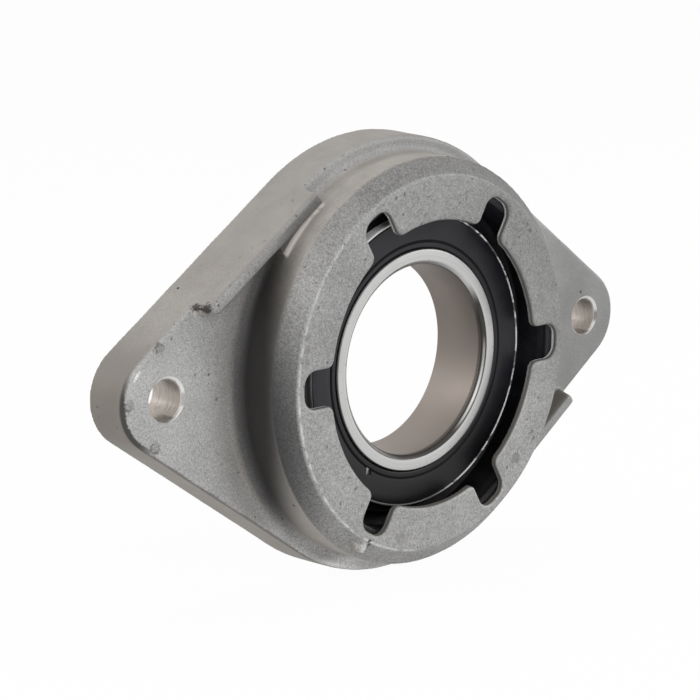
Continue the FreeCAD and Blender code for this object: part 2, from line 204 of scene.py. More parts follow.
class Finish:
    """A material in the making."""

    def __init__(self, name, **constants):
        self.material = bpy.data.materials.new(name)
        self.material.use_nodes = True
        self.tree = self.material.node_tree
        self.shader = self.tree.nodes["Principled BSDF"]
        for socket, value in constants.items():
            self.shader.inputs[socket.replace("_", " ")].default_value = value
        coordinates = self.tree.nodes.new("ShaderNodeTexCoord")
        self.place = Signal(self, coordinates.outputs["Object"])
        self.normal = Signal(self, coordinates.outputs["Normal"])

    def feed(self, socket, value):
        """Links a signal to a socket, or sets the socket's value."""
        if isinstance(value, Signal):
            self.tree.links.new(value.socket, socket)
        else:
            socket.default_value = value

    def node(self, kind, settings=None, sockets=None, outlet=0):
        """Adds a node, sets it up, feeds its sockets and returns one of its outlets."""
        node = self.tree.nodes.new("ShaderNode" + kind)
        for name, value in (settings or {}).items():
            setattr(node, name, value)
        for key, value in (sockets or {}).items():
            self.feed(node.inputs[key], value)
        return Signal(self, node.outputs[outlet])

    def noise(self, scale, detail=2.0, roughness=0.5, place=None):
        """Noise between 0 and 1. Its scale is in waves per metre."""
        return self.node(
            "TexNoise",
            {"noise_dimensions": "3D"},
            {"Vector": place or self.place, "Scale": scale, "Detail": detail, "Roughness": roughness},
        )

    def drawn_noise(self, first, second, third=0.0, detail=2.0, roughness=0.6):
        """Noise at a place that is given in waves, which draws it out into lines."""
        place = self.node("CombineXYZ", None, {0: first, 1: second, 2: third})
        return self.noise(1.0, detail, roughness, place)

    def axis(self, name, vector=None):
        """One coordinate in millimetres, or one component of a given vector."""
        parts = self.node("SeparateXYZ", None, {0: vector or self.place}, "XYZ".index(name))
        return parts if vector else parts * (1 / MM)

    def shaft_place(self):
        """The three coordinates and the radius from the shaft's axis, in millimetres."""
        x, y, z = [self.axis(name) for name in "XYZ"]
        return x, y, z, (x * x + z * z) ** 0.5

    def distance(self, place):
        """How far it is to a place, in millimetres."""
        ends = {0: self.place, 1: Vector(place) * MM}
        return self.node("VectorMath", {"operation": "DISTANCE"}, ends, 1) * (1 / MM)

    def fade(self, value, start, end):
        """0 at start and before, 1 at end and beyond, smooth between them."""
        return self.node(
            "MapRange",
            {"interpolation_type": "SMOOTHSTEP", "clamp": True},
            {"Value": value, "From Min": start, "From Max": end},
        )

    def fall(self, value, start, end):
        """1 at start and before, 0 at end and beyond, smooth between them."""
        return 1.0 - self.fade(value, start, end)

    def line(self, value, middle, inner, outer):
        """1 while the value is within inner of the middle, 0 once it is past outer."""
        return self.fall(abs(value - middle), inner, outer)

    def colours(self, factor, first, second):
        """Mixes two colours."""
        node = self.tree.nodes.new("ShaderNodeMix")
        node.data_type = "RGBA"
        self.feed(node.inputs[0], factor)
        self.feed(node.inputs[6], first)
        self.feed(node.inputs[7], second)
        return Signal(self, node.outputs[2])

    def shade(self, colour, brightness):
        """Makes a colour lighter or darker."""
        return self.node("VectorMath", {"operation": "SCALE"}, {0: colour, "Scale": brightness})

    def paint(self, **sockets):
        """Feeds the shader's own sockets and returns the material."""
        for name, value in sockets.items():
            self.feed(self.shader.inputs[name.replace("_", " ")], value)
        return self.material

    def bump(self, height, distance):
        """A normal from a height signal, whose full range is that distance in metres."""
        return self.node("Bump", None, {"Strength": 1.0, "Distance": distance, "Height": height})


def rgba(colour):
    """A colour with full alpha."""
    return (*colour, 1.0)


def scaled(colour, share):
    """A darker or lighter colour with full alpha."""
    return (colour[0] * share, colour[1] * share, colour[2] * share, 1.0)


class CastSkin(Finish):
    """The casting's finish in the making, with the masks that its layers share."""

    def __init__(self, palette):
        super().__init__("cast_aluminium", Metallic=0.25, Specular_IOR_Level=0.35)
        self.palette = palette
        self.x, self.y, self.z, self.radius = self.shaft_place()
        self.toward_back = self.axis("Y", self.normal)
        self.from_hole = ((abs(self.x) - EAR_PLACE) ** 2.0 + self.z * self.z) ** 0.5
        self.outward = abs(self.x) * EDGE_SINE + abs(self.z) * EDGE_COSINE

        self.grain = self.noise(1500.0, 2.0, 0.65)
        self.fine = self.noise(3400.0, 1.0)
        self.coarse = self.noise(900.0, 2.0, 0.6)
        self.wear = self.noise(420.0, 3.0, 0.7)
        self.patches = self.noise(110.0, 3.0, 0.6)
        self.stains = self.noise(38.0, 2.0, 0.5)

        self.facing_front = self.fade(-self.toward_back, 0.3, 0.8)
        self.off_body = self.fade(self.radius, BODY_RADIUS + 0.6, BODY_RADIUS + 1.2)
        self.past_face = self.fade(self.radius, FACE_RADIUS + 0.2, FACE_RADIUS + 0.8)
        self.on_cone = self.past_face * self.fall(self.y, CONE_BACK - 0.3, CONE_BACK + 0.3)

        self.in_hole = self.fall(self.from_hole, HOLE_RADIUS + 0.2, HOLE_RADIUS + 0.35)
        self.sunk = self.fall(self.from_hole, HOLE_RADIUS + 1.0, HOLE_RADIUS + 1.2)
        self.sunk = self.sunk * (1.0 - self.in_hole) * self.fall(-self.toward_back, 0.84, 0.94)
        bored = self.fall(self.radius, BORE_RADIUS + 0.1, BORE_RADIUS + 0.3)
        self.drilled = self.in_hole.highest(bored * self.fade(self.y, LIP_BACK, LIP_BACK + 0.2))
        self.milled = self.fade(self.y, FLANGE_BACK - 0.2, FLANGE_BACK - 0.08)
        self.milled = self.milled * self.fade(self.toward_back, 0.8, 0.95)
        self.machined = self.drilled.highest(self.milled)
        across_hole = (abs(self.x) - EAR_PLACE) * 0.9 + self.y * 1.4
        self.rings = self.drawn_noise(across_hole, self.y * 3.4, self.z * 0.25)
        self.dents = 0.0

    def grey_faces(self):
        """Grainy faces, smoother and warmer sides, and a coarser cone round the lip, with painted light on
        the left ear and on strips of the flange, and painted shade on the cone, the upper lip face and the
        right side.
        """
        x, y, z, radius = self.x, self.y, self.z, self.radius
        front, on_cone = self.facing_front, self.on_cone
        tone = self.colours(front, rgba(self.palette.casting_side), rgba(self.palette.casting_face))
        # Painted light on the left ear's face, less at its top; the cone is darker all round and, as painted
        # shade, darker still towards the upper right.
        on_ear = self.fade(-x, 50.0, 60.0) * front
        ear_light = 0.24 - self.fade(z, 4.0, 14.0) * 0.2
        cone_shade = 0.15 + self.fade(x + z, -10.0, 30.0) * 0.2
        tone = self.shade(tone, 1.0 + on_ear * ear_light - on_cone * cone_shade)

        graininess = 0.35 + front * 0.65 + on_cone * 0.15
        graininess = graininess - self.fade(x, 50.0, 60.0) * 0.4 - on_ear * 0.15
        upper_flange = self.fade(z, 25.0, 40.0) * self.fade(radius, BODY_RADIUS - 0.2, BODY_RADIUS + 0.5)
        right_flange = self.fade(x, 24.0, 36.0) * self.off_body
        graininess = graininess - upper_flange * 0.4 - right_flange * 0.25
        speckle = (self.grain - 0.5) * 1.1 + (self.fine - 0.5) * 1.3
        speckle = speckle + (self.coarse - 0.5) * on_cone * 0.25
        cloud = (self.patches - 0.5) * 0.4 + (self.stains - 0.5) * 0.3
        # Painted shade: darker towards the upper right.
        right_shade = self.fade(x + z * 0.6, 10.0, 65.0)
        tone = self.shade(tone, (1.0 + speckle * graininess + cloud) * (1.0 - right_shade * 0.28))

        # Painted shade on the upper lip face; painted light on a strip of the flange's face at the bottom
        # and on the flange's face beside the body at the right.
        upper_face = self.fade(z, -20.0, 10.0) * self.fall(radius, FACE_RADIUS - 0.2, FACE_RADIUS + 0.2)
        low_strip = self.fade(-z, 46.5, 50.0) * self.fade(-x, -8.0, 2.0)
        low_strip = low_strip * front * self.fade(y, FLANGE_FRONT - 1.4, FLANGE_FRONT - 0.7)
        by_body = self.fade(x, 20.0, 32.0) * self.fall(x, 52.0, 66.0) * self.off_body
        by_body = by_body * front * self.fade(y, FLANGE_FRONT - 0.9, FLANGE_FRONT - 0.3)
        return self.shade(tone, 1.0 - upper_face * 0.12 + low_strip * 0.85 + by_body * 0.3)

    def painted_corner_shade(self, tone):
        """Painted shade in the corner round the body, darkest at the left."""
        x, y, z, radius = self.x, self.y, self.z, self.radius
        front, on_cone = self.facing_front, self.on_cone
        leftward = -(x + z * (0.02 + on_cone * 0.19)) / radius
        past_wall = self.fade(radius, BODY_RADIUS + 0.5, BODY_RADIUS + 3.0)
        corner_shade = leftward + (y + 6.0) * 0.022 - past_wall * 0.08 + on_cone * 0.03 + (self.patches - 0.5) * 0.06
        corner_shade = self.fade(corner_shade, 0.66, 0.97) * self.fall(radius, BODY_RADIUS + 0.2, BODY_RADIUS + 4.8)
        corner_shade = corner_shade * self.past_face * self.fall(y, 1.0, 3.0)
        corner_shade = corner_shade * (0.93 - past_wall * 0.2 - on_cone * 0.04)
        # Painted shade in the stain colour on the flange's face beside the body, at the left.
        beside_wall = self.fade(radius, BODY_RADIUS + 0.5, BODY_RADIUS + 2.0) * front
        beside_wall = beside_wall * self.fall(radius, DISC_RADIUS - 0.5, DISC_RADIUS + 9.0)
        beside_wall = beside_wall * self.fade(leftward + (self.stains - 0.5) * 0.2, 0.7, 0.92)
        tone = self.colours(beside_wall * 0.45, tone, rgba(self.palette.casting_stain_and_shade))
        tone = self.colours(corner_shade, tone, rgba(self.palette.casting_corner_shade))
        # A painted highlight along the disc's edge at the left.
        ridge = self.line(radius, DISC_RADIUS - 0.6, 0.4, 1.5) * self.fall(z, -4.0, 6.0)
        ridge = ridge * self.fade(-x, 6.0, 24.0) * front
        tone = self.shade(tone, 1.0 + ridge * 0.16)
        # Painted shade along the cone's edge by the body, at the right.
        cone_edge = self.fade(radius, BODY_RADIUS - 0.8, BODY_RADIUS - 0.3) * (1.0 - self.off_body)
        cone_edge = cone_edge * self.fade(x, 8.0, 30.0) * self.fall(y, CONE_BACK + 0.6, CONE_BACK + 1.6)
        return self.shade(tone, 1.0 - cone_edge * 0.45)

    def ribs(self, tone):
        """Painted shade on the rib tops towards the body and at their roots, and a painted highlight on the
        step at the end of the left rib.
        """
        x, y, z, radius = self.x, self.y, self.z, self.radius
        outward = self.outward
        at_rib = self.fade(-x * z, 40.0, 120.0) * self.fall(y, FLANGE_FRONT - 1.1, FLANGE_FRONT - 0.3)
        at_rib = at_rib * self.fade(radius, BODY_RADIUS - 0.1, BODY_RADIUS + 0.1)
        top = at_rib * self.fall(y, RIB_FRONT + 0.8, RIB_FRONT + 1.3)
        top = top * self.fade(outward, RIB_LINE, RIB_LINE + 0.3)
        shaded_top = top * self.fall(outward, RIB_LINE + 2.1, RIB_LINE + 3.0) * self.fall(abs(x), 38.0, 47.0)
        root = at_rib * self.fall(outward, RIB_LINE, RIB_LINE + 0.7)
        root = root * self.fade(radius, BODY_RADIUS + 0.8, BODY_RADIUS + 1.6)
        step = at_rib * self.fall(outward, RIB_LINE - 0.1, RIB_LINE + 0.2)
        step = step * self.fall(radius, BODY_RADIUS + 1.0, BODY_RADIUS + 1.4)
        step = step * self.fall(y, RIB_FRONT + 0.8, RIB_FRONT + 1.1) * self.fall(abs(x), 40.0, 42.0)
        # Painted shade on the rib tops and roots, and a painted highlight in the machined colour on the step
        # at the end of the left rib.
        tone = self.colours((shaded_top * 0.6).highest(root * 0.92), tone, rgba(self.palette.casting_wall_shade))
        tone = self.colours(step * 0.6, tone, rgba(self.palette.machined))
        # Painted shade on the left rib's top.
        return self.shade(tone, 1.0 - top * self.fade(-x, 0.0, 10.0) * 0.16)

    def side_stains(self, tone):
        """Brown stains of the sides, strongest round the left ear, and the sides browned by half as much
        below the middle.
        """
        on_side = 1.0 - self.facing_front
        stained = self.fade(-self.x, 62.0, 82.0) * self.fall(self.z, 2.0, 22.0) * on_side
        stained = stained + (self.stains + self.patches - 1.0) * 0.5 * stained
        below = self.fall(self.z, -14.0, 0.0) * on_side * self.off_body
        stained = stained.highest(below * 0.5)
        return self.colours(stained * 0.8, tone, rgba(self.palette.casting_stain_and_shade))

    def worn_and_lit_edges(self, tone):
        """The lip's outer edge, worn bright and with a painted highlight at the left and bottom and painted
        shade at the right, and the notches' walls painted dark as shade, with bright burred rear edges and
        painted highlight on their front edges.
        """
        x, y, z, radius, wear = self.x, self.y, self.z, self.radius, self.wear
        # Wear and painted highlight along the lip's outer edge at the left and bottom, and painted shade
        # along it at the right.
        on_rim = self.line(radius, FACE_RADIUS, 0.05, 0.4) * self.fall(y, LIP_FRONT + 0.4, LIP_FRONT + 1.0)
        low_rim = self.fade(-z, 26.0, 36.0) * self.fade(-x, 2.0, 10.0)
        left_rim = self.fade(-x, 22.0, 38.0) * (1.0 - self.fade(z, -12.0, 4.0) * 0.45)
        worn_and_lit = on_rim * self.fade(wear, 0.32, 0.62) * left_rim.highest(low_rim) * 0.6
        tone = self.shade(tone, 1.0 - on_rim * 0.25 * self.fade(x, -20.0, 20.0))

        on_lip = self.fall(radius, BORE_RADIUS, BORE_RADIUS + 0.4)
        above_back = self.fall(y, LIP_BACK, LIP_BACK + 0.3)
        on_notch = self.fade(radius, LIP_RADIUS + 0.8, LIP_RADIUS + 2.0)
        # The notch walls' rear edges are burred bright, with painted highlight that fades towards the
        # bottom.
        burr_and_highlight = self.fade(y, LIP_BACK - 0.95, LIP_BACK - 0.6) * above_back * on_lip * (0.3 + on_notch * 0.7)
        burr_and_highlight = burr_and_highlight * self.fade(wear, 0.2, 0.45) * (1.0 - self.fade(-z, 4.0, 18.0) * 0.8)
        # Painted shade on the notch walls inside the lip, and a painted highlight on their front edges at
        # the lower right.
        wall = self.fade(y, LIP_FRONT + 0.12, LIP_FRONT + 0.6) * on_lip * above_back
        tone = self.colours(wall * 0.85, tone, rgba(self.palette.casting_wall_shade))
        lit_edge = on_lip * self.fall(-self.toward_back, 0.88, 0.96) * self.fade(-z, 2.0, 16.0)
        lit_edge = lit_edge * self.fall(y, LIP_FRONT + 0.4, LIP_FRONT + 0.7) * self.fade(x, 0.0, 8.0)
        tone = self.shade(tone, 1.0 + lit_edge * 0.35)
        return self.colours(worn_and_lit.highest(burr_and_highlight), tone, rgba(self.palette.casting_nick_and_highlight))

    def edge_darkening(self, tone):
        """Darkens the rounding of the flange's front edge, most at the tip of the left ear and less along
        the lower left.
        """
        x, y, z = self.x, self.y, self.z
        inside_line = DISC_RADIUS - self.outward
        inside_ear = EAR_RADIUS - self.from_hole
        past_ear = self.fade(abs(x) - EAR_PLACE - self.from_hole * EDGE_SINE, -0.3, 0.3)
        inside = inside_line + (inside_ear - inside_line) * past_ear
        ragged = (self.patches - 0.5) * 1.6 + (self.grain - 0.5) * 0.8
        near_edge = self.fall(y, 0.7, 1.5) * self.fade(y, FLANGE_FRONT - 0.6, FLANGE_FRONT - 0.3)
        at_tip = self.fade(-x, 74.0, 80.0) * self.fall(z, 2.0, 9.0)
        at_tip = at_tip * self.fall(inside + ragged, 0.6, 1.1) * 0.95
        along = self.fall(z, -14.0, -6.0) * self.fade(-x, 6.0, 20.0)
        along = along * self.fall(inside + ragged * 0.5, 0.25, 0.6) * 0.5
        darkening = at_tip.highest(along) * near_edge
        return self.colours(darkening, tone, rgba(self.palette.casting_pit_and_shade))

    def marks(self, tone):
        """Pits, nicks, brown spots, the rings that the ejector pins left, and painted shade and highlights
        from the marks' list.
        """
        palette = self.palette
        pinholes = self.fade(self.noise(760.0, 0.0), 0.8, 0.83) * (0.25 + self.facing_front * 0.3)
        tone = self.colours(pinholes, tone, rgba(palette.casting_pit_and_shade))
        for middle, size in BROWN_SPOTS:
            tinted = self.fall(self.distance(middle) + (self.patches - 0.5) * size, size * 0.3, size)
            tone = self.colours(tinted * 0.4, tone, rgba(palette.casting_stain_and_shade))
        dents = []
        for middle, size, light in CASTING_MARKS_AND_PAINTED_LIGHT:
            mark = self.fall(self.distance(middle) + (self.grain - 0.5) * size * 1.6, size * 0.5, size)
            tint = palette.casting_nick_and_highlight if light > 0 else palette.casting_pit_and_shade
            tone = self.colours(mark * abs(light), tone, rgba(tint))
            dents.append(mark)
        for middle in PIN_MARKS:
            blurred = self.distance(middle) + (self.grain - 0.5) * 2.2 + (self.wear - 0.5) * 1.4
            ring = self.line(blurred, PIN_RADIUS, 0.05, 0.5)
            disc = self.fall(blurred, PIN_RADIUS * 0.5, PIN_RADIUS)
            mark = (ring * self.fade(self.wear, 0.35, 0.6)).highest(disc * 0.4)
            tone = self.colours(mark * 0.75, tone, rgba(palette.casting_pit_and_shade))
            dents.append(ring * 0.8)
        self.dents = functools.reduce(Signal.highest, dents)
        return tone

    def machined_faces(self, tone):
        """Drilled holes with their sunk edges, the bore and the milled back, with painted shade inside the
        holes and painted highlights on their sunk edges.
        """
        x, y, z = self.x, self.y, self.z
        tone = self.colours(self.machined, tone, rgba(self.palette.machined))
        tone = self.shade(tone, 1.0 - self.drilled * self.fade(self.rings, 0.42, 0.7) * 0.35)
        turned = self.fade(self.drawn_noise(self.radius * 4.0, y), 0.4, 0.7)
        tone = self.shade(tone, 1.0 - self.milled * (turned * 0.12 + (self.patches - 0.5) * 0.3))

        # Painted shade on the holes' walls near the front, at the top and the bottom.
        beside = (abs(x) - EAR_PLACE) * x / abs(x)
        upper_front = self.fade(z, 0.0, 3.5) * self.fall(y, 3.0, 8.0)
        upper_front = upper_front * (0.2 + self.fade(beside - y * 0.5, -1.5, -1.1) * 0.8)
        low_front = self.fall(z, -4.3, -3.9) * self.fall(y, 3.0, 6.0)
        tone = self.shade(tone, 1.0 - self.in_hole * (upper_front * 0.55 + low_front * 0.5))
        # Painted highlights on the sunk edges above and below the holes.
        lit_above = self.fade(beside + z, 0.5, 3.0) * self.fade(z, 0.2, 1.8)
        lit_below = self.fade(beside - z, 5.4, 6.4) * self.fade(-z, 1.2, 2.4) * 0.8
        lit_chamfer = self.sunk * lit_above.highest(lit_below) * 0.85
        return self.colours(lit_chamfer, tone, rgba(self.palette.casting_nick_and_highlight))

    def relief(self, depth):
        """A normal from the grain, the dents and the drilling marks."""
        height = self.grain * 0.5 + self.fine * 0.25 + self.coarse * self.on_cone * 0.5
        height = height * (0.5 + self.facing_front * 0.5) + self.patches * 0.5
        height = height * (1.0 - self.machined.highest(self.sunk))
        return self.bump(height - self.dents * 0.9 + self.rings * self.drilled * 0.12, depth)


def cast_aluminium(palette, sizes):
    """Sandblasted casting: grainy grey faces, smoother and warmer drafted sides, drilled holes."""
    skin = CastSkin(palette)
    tone = skin.grey_faces()
    layers = (skin.painted_corner_shade, skin.ribs, skin.side_stains, skin.worn_and_lit_edges, skin.edge_darkening)
    for layer in (*layers, skin.marks, skin.machined_faces):
        tone = layer(tone)
    roughness = 0.6 + (skin.grain - 0.5) * 0.2 - skin.machined * 0.25
    return skin.paint(Base_Color=tone, Roughness=roughness, Normal=skin.relief(sizes.casting_grain * 4.0))


def ground_steel(name, colour, darker, roughness, metallic=1.0, spots_and_shade=0.0):
    """Ground bearing steel, with fine marks that run round the shaft axis."""
    finish = Finish(name, Metallic=metallic)
    x, y, z, radius = finish.shaft_place()
    lines = finish.drawn_noise(radius * 6.0, y * 6.0, 0.0, 3.0, 0.7)
    cloud = finish.noise(90.0, 3.0, 0.6)
    spots = finish.noise(260.0, 2.0, 0.7)
    tone = finish.colours(finish.fade(lines, 0.3, 0.75) * 0.45, rgba(colour), rgba(darker))
    tone = finish.colours(finish.fade(cloud, 0.5, 0.8) * 0.3, tone, rgba(darker))
    # The last argument darkens the front face in dirty spots and, as painted shade, at the left, and paints
    # the far left dark as shade.
    on_face = finish.fall(y, BEARING_FRONT + 1.2, BEARING_FRONT + 1.5)
    on_face = on_face * (1.0 - finish.fade(z, 2.0, 10.0) * finish.fade(-x, 4.0, 12.0))
    spots_and_left_shade = finish.fade(spots, 0.5, 0.58).highest(finish.fall(x / radius, 0.15, 0.45))
    tone = finish.colours(on_face * spots_and_left_shade * spots_and_shade, tone, scaled(darker, 0.12))
    tone = finish.colours(finish.fade(-x / radius, 0.85, 0.95) * spots_and_shade, tone, scaled(darker, 0.12))
    return finish.paint(
        Base_Color=tone,
        Roughness=roughness + (cloud - 0.5) * 0.16 + (lines - 0.5) * 0.1,
        Normal=finish.bump(lines, 0.00001),
    )


def bore_steel(palette):
    """The inner ring: bright ground faces and a warmer, softer bore, with painted shade in the upper bore
    and on thin edge lines and the chamfer, a painted highlight streak, and the lower bore painted lighter.
    """
    finish = Finish("inner_ring_steel", Metallic=1.0)
    x, y, z, radius = finish.shaft_place()
    rightward = x / radius
    upward = z / radius
    lines = finish.drawn_noise(radius * 6.0, y * 5.0, 0.0, 3.0, 0.7)
    cloud = finish.noise(75.0, 3.0, 0.6)
    specks = finish.noise(900.0, 2.0, 0.6)
    in_bore = finish.fall(radius, SHAFT_RADIUS + 0.05, SHAFT_RADIUS + 0.2)
    on_chamfer = finish.fall(radius, CHAMFER_RADIUS - 0.1, CHAMFER_RADIUS + 0.1) * (1.0 - in_bore)
    dark = rgba(palette.ring_dark)
    shade_tone = rgba(palette.ring_shade)

    tone = finish.colours(in_bore, rgba(palette.ring_face), rgba(palette.ring_bore))
    tone = finish.colours(finish.fade(lines, 0.3, 0.75) * 0.3, tone, dark)
    tone = finish.colours(finish.fade(cloud, 0.5, 0.85) * 0.25, tone, dark)
    tone = finish.colours(finish.fade(specks, 0.68, 0.76) * 0.5 * (1.0 - in_bore), tone, dark)
    # Painted shade in the upper bore.
    upper_bore_shade = in_bore * finish.fade(-y, -2.0, 8.0) * finish.fade(upward, -0.3, 0.6) * (0.25 + cloud * 0.4)
    tone = finish.colours(upper_bore_shade, tone, shade_tone)
    # Painted shade: a thin dark line at the chamfer's edge at the left, and the outer edge by the seal
    # painted dark.
    edge_line = finish.line(radius, CHAMFER_RADIUS, 0.06, 0.2) * finish.fade(-rightward, -0.2, 0.5)
    by_seal = finish.fade(radius, RING_EDGE - 0.05, RING_EDGE + 0.1) * 0.8
    tone = finish.colours(edge_line.highest(by_seal), tone, shade_tone)

    # The chamfer reflects the dark side of the room, apart from a streak at the lower right
    darkened = on_chamfer * finish.fall(upward, 0.45, 0.75) * finish.fade(rightward, -0.85, -0.2)
    tone = finish.colours(darkened * 0.95, tone, scaled(palette.ring_shade, 0.6))
    streak = finish.fade(rightward, 0.3, 0.6) * finish.fade(-upward, -0.15, 0.05)
    streak = streak * finish.fall(-upward, 0.7, 0.85) * finish.line(radius, SHAFT_RADIUS + 0.5, 0.1, 0.3)
    tone = finish.colours(streak * finish.fade(lines, 0.2, 0.5) * 0.3, tone, rgba(palette.casting_nick_and_highlight))
    # Painted shade as a thin dark line in the bore near its front edge.
    bore_line = finish.line(radius, SHAFT_RADIUS + 0.1, 0.05, 0.2) * finish.fall(upward, 0.3, 0.6)
    bore_line = bore_line * finish.fall(y, BEARING_FRONT + 1.7, BEARING_FRONT + 2.3)
    tone = finish.colours(bore_line * 0.9, tone, scaled(palette.ring_shade, 0.5))
    # The lower bore is painted lighter, as painted light.
    tone = finish.shade(tone, 1.0 + in_bore * finish.fade(-upward, 0.15, 0.65) * 0.4)
    return finish.paint(
        Base_Color=tone,
        Roughness=0.42 + in_bore * 0.13 + (cloud - 0.5) * 0.18 + (lines - 0.5) * 0.12,
        Normal=finish.bump(lines, 0.000012),
    )


def moulded_rubber(name, colour, dusty, roughness, grain):
    """Black moulded rubber with a faint bloom and a fine mould texture, painted darker towards the bottom as
    shade, and a rougher step painted dark as shade.
    """
    finish = Finish(name, Metallic=0.0, Specular_IOR_Level=0.3)
    z, radius = finish.shaft_place()[2:]
    texture = finish.noise(2600.0, 2.0, 0.6)
    bloom = finish.noise(160.0, 4.0, 0.65)
    dust = finish.noise(1500.0, 2.0, 0.7)
    tone = finish.colours(finish.fade(bloom, 0.4, 0.75) * 0.5, rgba(colour), rgba(dusty))
    tone = finish.colours(finish.fade(dust, 0.7, 0.78) * 0.5, tone, rgba(dusty))
    step = finish.line(radius, SEAL_STEP, 0.25, 0.5)
    # Painted shade: darker towards the bottom and on the step.
    tone = finish.shade(tone, (1.0 - finish.fade(-z, 8.0, 26.0) * 0.7) * (1.0 - step * 0.9))
    return finish.paint(
        Base_Color=tone,
        Roughness=roughness + (bloom - 0.5) * 0.2 + step * 0.5,
        Normal=finish.bump(texture * 0.6 + bloom * 0.6, grain),
    )


def pressed_steel(name, colour, roughness):
    """Sheet steel with drawing marks and light staining."""
    finish = Finish(name, Metallic=1.0)
    stains = finish.noise(240.0, 4.0, 0.6)
    grain = finish.noise(2200.0, 2.0)
    tone = finish.colours(finish.fade(stains, 0.35, 0.75) * 0.5, rgba(colour), scaled(colour, 0.6))
    return finish.paint(
        Base_Color=tone,
        Roughness=roughness + (stains - 0.5) * 0.2,
        Normal=finish.bump(grain, 0.00001),
    )


# Modelling helpers


def start_clean():
    """Leaves edit mode and deselects everything."""
    if bpy.context.mode != "OBJECT":
        bpy.ops.object.mode_set(mode="OBJECT")
    bpy.ops.object.select_all(action="DESELECT")


def make_active(piece):
    """Selects one piece alone."""
    start_clean()
    piece.select_set(True)
    bpy.context.view_layer.objects.active = piece


def apply_modifier(piece, kind, **settings):
    """Adds a modifier, sets it up and applies it."""
    make_active(piece)
    modifier = piece.modifiers.new(kind.lower(), kind)
    for name, value in settings.items():
        setattr(modifier, name, value)
    bpy.ops.object.modifier_apply(modifier=modifier.name)


def smooth(piece, degrees=35.0):
    """Shades a piece smooth, apart from its edges that are sharper than the angle."""
    make_active(piece)
    bpy.ops.object.shade_smooth_by_angle(angle=math.radians(degrees))


def dress(piece, material):
    """Gives a new piece its material."""
    piece.data.materials.clear()
    piece.data.materials.append(material)


def dress_node(node, material):
    """Gives a carried-over CAD node its material."""
    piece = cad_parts[node]
    for slot in piece.material_slots:
        slot.material = material
    if not piece.material_slots:
        piece.data.materials.append(material)


def cad_copy(node, name):
    """A copy of a CAD node for shaping, with its loose triangles merged."""
    start_clean()
    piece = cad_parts[node].copy()
    piece.data = piece.data.copy()
    piece.name = name
    piece.parent = None
    piece.matrix_world = Matrix.Identity(4)
    bpy.context.collection.objects.link(piece)
    make_active(piece)
    bpy.ops.object.mode_set(mode="EDIT")
    bpy.ops.mesh.select_all(action="SELECT")
    bpy.ops.mesh.remove_doubles(threshold=0.000002)
    bpy.ops.object.mode_set(mode="OBJECT")
    return piece


def cut_away(piece, cutter):
    """Takes a cutter away from a piece and removes the cutter."""
    apply_modifier(piece, "BOOLEAN", operation="DIFFERENCE", solver="MANIFOLD", object=cutter)
    start_clean()
    bpy.data.objects.remove(cutter)


def small_block(size, place, turn, shares=(1.0, 1.0, 1.0)):
    """A turned block, with its sides as shares of its size in millimetres."""
    start_clean()
    bpy.ops.mesh.primitive_cube_add(size=size * MM, location=[value * MM for value in place])
    block = bpy.context.object
    block.rotation_euler = turn
    block.scale = shares
    bpy.ops.object.transform_apply(location=True, rotation=True, scale=True)
    return block


def soften(piece, width, segments):
    """Rounds a piece's sharp edges, with a width in millimetres."""
    apply_modifier(
        piece,
        "BEVEL",
        width=width * MM,
        segments=segments,
        limit_method="ANGLE",
        angle_limit=math.radians(30.0),
        harden_normals=False,
    )
    smooth(piece)


def join(pieces):
    """Joins pieces into the first one."""
    start_clean()
    for piece in pieces:
        piece.select_set(True)
    bpy.context.view_layer.objects.active = pieces[0]
    bpy.ops.object.join()
    return pieces[0]


# Properties


class CastingSizes(bpy.types.PropertyGroup):
    voxel: FloatProperty(
        name="Skin resolution", description="Width of the cells that the casting's skin is made of",
        default=0.36 * MM, unit="LENGTH",
    )
    casting_grain: FloatProperty(
        name="Grain depth", description="Depth of the sandblasted grain", default=0.03 * MM, unit="LENGTH"
    )
    waviness: FloatProperty(
        name="Waviness", description="How far the cast skin strays from its true shape",
        default=0.14 * MM, unit="LENGTH",
    )
    triangles: IntProperty(
        name="Casting triangles", description="Most triangles that the casting may have", default=170000
    )


